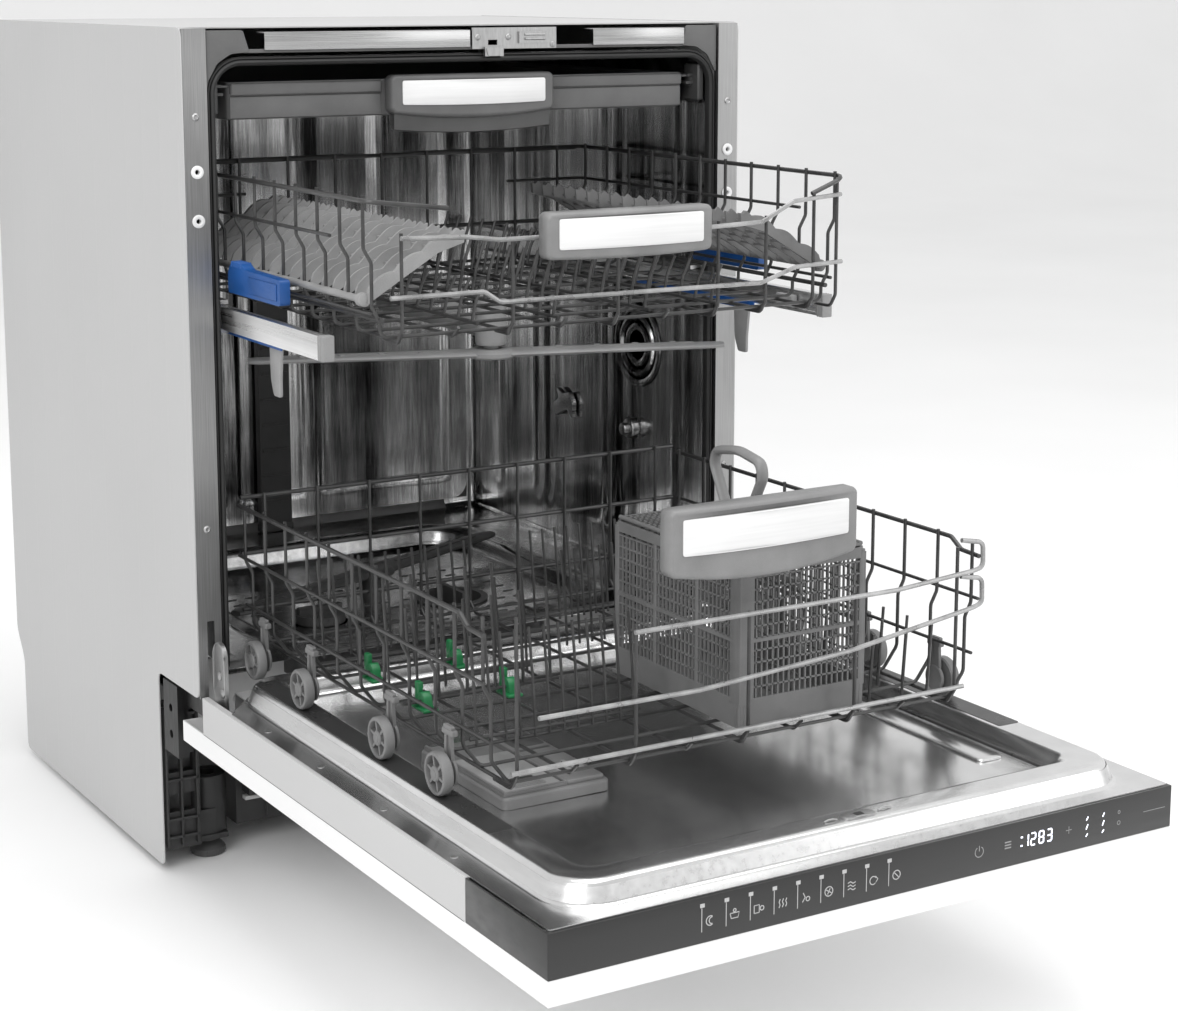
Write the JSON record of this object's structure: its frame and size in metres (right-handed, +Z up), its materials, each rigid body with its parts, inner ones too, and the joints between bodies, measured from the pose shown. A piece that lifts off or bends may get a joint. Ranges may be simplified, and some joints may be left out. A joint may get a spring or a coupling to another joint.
{
  "type": "built-in dishwasher",
  "caption": "Built-in dishwasher with its door open, two roll-out wire baskets, cutlery tray, cutlery basket, spray arms, detergent dispenser and adjustable feet",
  "frame": {"origin": "centre of the footprint with the door open, on the floor", "axes": "+X to the right seen from the front, +Y towards the wall, +Z up"},
  "size_m": [0.598, 1.1904, 0.82],
  "materials": {
    "casing_paint": "light grey satin coat",
    "white_paint": "white satin coat",
    "frame_steel": "vertically brushed",
    "bright_steel": "polished stainless",
    "rubber_black": "matt",
    "plastic_black": "fine grained",
    "plastic_white": "satin",
    "plastic_dark": "satin",
    "plastic_grey": "satin",
    "panel_black": "smooth",
    "wire_coat": "nylon coated wire",
    "plastic_blue": "satin",
    "plastic_green": "satin"
  },
  "bodies": {
    "cabinet": {"side_left": "casing_paint", "side_right": "casing_paint", "top_panel": "casing_paint", "back_panel": "casing_paint", "front_strips": "frame_steel", "strip_bushes": "plastic_white", "top_bar": "bright_steel", "latch_catch": "bright_steel", "tub": "bright_steel", "gasket": "rubber_black", "sump": "plastic_dark", "filter_plate": "bright_steel", "water_duct": "plastic_dark", "rail_guides": "bright_steel", "tray_runners": "plastic_dark", "base_pan": "plastic_black", "hinge_brackets": "bright_steel", "leg_brackets": "plastic_black"},
    "filter": {"filter_cup": "plastic_dark"},
    "salt_lid": {"salt_cap": "plastic_dark"},
    "low_arm": {"lower_spray_arm": "plastic_dark"},
    "left_foot": {"foot_left": "plastic_grey"},
    "right_foot": {"foot_right": "plastic_grey"},
    "rear_foot": {"foot_rear": "plastic_grey"},
    "door": {"door_shell": "casing_paint", "door_outer": "white_paint", "door_pan": "bright_steel", "fascia": "panel_black", "hinge_plates": "bright_steel", "dispenser": "plastic_grey"},
    "powder_lid": {"dispenser_lid": "plastic_grey"},
    "rinse_cap": {"rinse_flap": "plastic_grey"},
    "low_basket": {"low_floor_grid": "wire_coat", "low_sides": "wire_coat", "low_ends": "wire_coat", "low_handle": "plastic_grey", "wheel_carriers": "plastic_grey", "tine_clips": "plastic_green"},
    "tine_row_rear": {"tines_left": "wire_coat"},
    "tine_row_front": {"tines_mid": "wire_coat"},
    "wheel_axis_a": {"wheels_a": "plastic_grey"},
    "wheel_axis_b": {"wheels_b": "plastic_grey"},
    "wheel_axis_c": {"wheels_c": "plastic_grey"},
    "wheel_axis_d": {"wheels_d": "plastic_grey"},
    "cutlery_box": {"cutlery_basket": "plastic_grey", "cutlery_grip": "plastic_grey"},
    "left_flap": {"cutlery_lid_left": "plastic_grey"},
    "right_flap": {"cutlery_lid_right": "plastic_grey"},
    "up_basket": {"up_floor_grid": "wire_coat", "up_sides": "wire_coat", "up_ends": "wire_coat", "up_handle": "plastic_grey", "up_rails": "bright_steel", "up_tines": "wire_coat"},
    "height_levers": {"adjusters": "plastic_blue"},
    "left_shelf": {"shelf_left": "plastic_grey"},
    "right_shelf": {"shelf_right": "plastic_grey"},
    "up_arm": {"upper_spray_arm": "plastic_grey"},
    "tray": {"cutlery_tray": "plastic_grey", "tray_handle": "plastic_grey"}
  },
  "joints": [
    {"name": "door_hinge", "type": "hinge", "parent": "cabinet", "child": "door", "pos_m": [0, 0.028, 0.192], "axis": [1, 0, 0], "range_deg": [-12, 0]},
    {"name": "lower_basket_slide", "type": "slide", "parent": "door", "child": "low_basket", "axis": [0, 1, 0], "range_m": [-0.13, 0.459]},
    {"name": "upper_basket_slide", "type": "slide", "parent": "cabinet", "child": "up_basket", "axis": [0, 1, 0], "range_m": [-0.09, 0.255]},
    {"name": "cutlery_tray_slide", "type": "slide", "parent": "cabinet", "child": "tray", "axis": [0, -1, 0], "range_m": [0, 0.38]},
    {"name": "lower_arm_spin", "type": "hinge", "parent": "cabinet", "child": "low_arm", "pos_m": [0, 0.295, 0.232], "axis": [0, 0, 1], "continuous": true},
    {"name": "upper_arm_spin", "type": "hinge", "parent": "up_basket", "child": "up_arm", "pos_m": [0, 0.025, 0.508], "axis": [0, 0, 1], "continuous": true},
    {"name": "filter_twist", "type": "hinge", "parent": "cabinet", "child": "filter", "pos_m": [0.07, 0.245, 0.18], "axis": [0, 0, 1], "range_deg": [0, 60]},
    {"name": "salt_cap_turn", "type": "hinge", "parent": "cabinet", "child": "salt_lid", "pos_m": [-0.09, 0.235, 0.2], "axis": [0, 0, 1], "continuous": true},
    {"name": "left_foot_height", "type": "slide", "parent": "cabinet", "child": "left_foot", "axis": [0, 0, 1], "range_m": [-0.045, 0]},
    {"name": "right_foot_height", "type": "slide", "parent": "cabinet", "child": "right_foot", "axis": [0, 0, 1], "range_m": [-0.045, 0]},
    {"name": "rear_foot_height", "type": "slide", "parent": "cabinet", "child": "rear_foot", "axis": [0, 0, 1], "range_m": [-0.045, 0]},
    {"name": "powder_lid_slide", "type": "slide", "parent": "door", "child": "powder_lid", "axis": [0, 1, 0], "range_m": [0, 0.043]},
    {"name": "rinse_cap_turn", "type": "hinge", "parent": "door", "child": "rinse_cap", "pos_m": [-0.127, -0.336, 0.218], "axis": [0, 0, 1], "range_deg": [0, 90]},
    {"name": "rear_tines_fold", "type": "hinge", "parent": "low_basket", "child": "tine_row_rear", "pos_m": [-0.137, -0.105, 0.254], "axis": [1, 0, 0], "range_deg": [0, 80]},
    {"name": "front_tines_fold", "type": "hinge", "parent": "low_basket", "child": "tine_row_front", "pos_m": [-0.137, -0.205, 0.254], "axis": [1, 0, 0], "range_deg": [0, 80]},
    {"name": "cutlery_basket_lift", "type": "slide", "parent": "low_basket", "child": "cutlery_box", "axis": [0, 0, -1], "range_m": [-0.06, 0]},
    {"name": "left_flap_hinge", "type": "hinge", "parent": "cutlery_box", "child": "left_flap", "pos_m": [0.006, -0.297, 0.391], "axis": [0, -1, 0], "range_deg": [0, 100]},
    {"name": "right_flap_hinge", "type": "hinge", "parent": "cutlery_box", "child": "right_flap", "pos_m": [0.128, -0.297, 0.391], "axis": [0, 1, 0], "range_deg": [0, 100]},
    {"name": "left_shelf_fold", "type": "hinge", "parent": "up_basket", "child": "left_shelf", "pos_m": [-0.234, 0.025, 0.6], "axis": [0, -1, 0], "range_deg": [0, 50]},
    {"name": "right_shelf_fold", "type": "hinge", "parent": "up_basket", "child": "right_shelf", "pos_m": [0.234, 0.025, 0.6], "axis": [0, 1, 0], "range_deg": [0, 50]},
    {"name": "height_lever_press", "type": "slide", "parent": "up_basket", "child": "height_levers", "axis": [0, 0, 1], "range_m": [-0.006, 0], "stiffness_N_per_m": 300, "springref_m": 0.01},
    {"name": "wheel_a_roll", "type": "hinge", "parent": "low_basket", "child": "wheel_axis_a", "pos_m": [0, -0.352, 0.2443], "axis": [1, 0, 0], "continuous": true},
    {"name": "wheel_b_roll", "type": "hinge", "parent": "low_basket", "child": "wheel_axis_b", "pos_m": [0, -0.249, 0.2443], "axis": [1, 0, 0], "continuous": true},
    {"name": "wheel_c_roll", "type": "hinge", "parent": "low_basket", "child": "wheel_axis_c", "pos_m": [0, -0.091, 0.2443], "axis": [1, 0, 0], "continuous": true},
    {"name": "wheel_d_roll", "type": "hinge", "parent": "low_basket", "child": "wheel_axis_d", "pos_m": [0, 0.013, 0.2443], "axis": [1, 0, 0], "continuous": true}
  ],
  "couplings": [
    {"joint": "wheel_a_roll", "follows": "lower_basket_slide", "rad_per_m": -55.556},
    {"joint": "wheel_b_roll", "follows": "lower_basket_slide", "rad_per_m": -55.556},
    {"joint": "wheel_c_roll", "follows": "lower_basket_slide", "rad_per_m": -55.556},
    {"joint": "wheel_d_roll", "follows": "lower_basket_slide", "rad_per_m": -55.556}
  ]
}
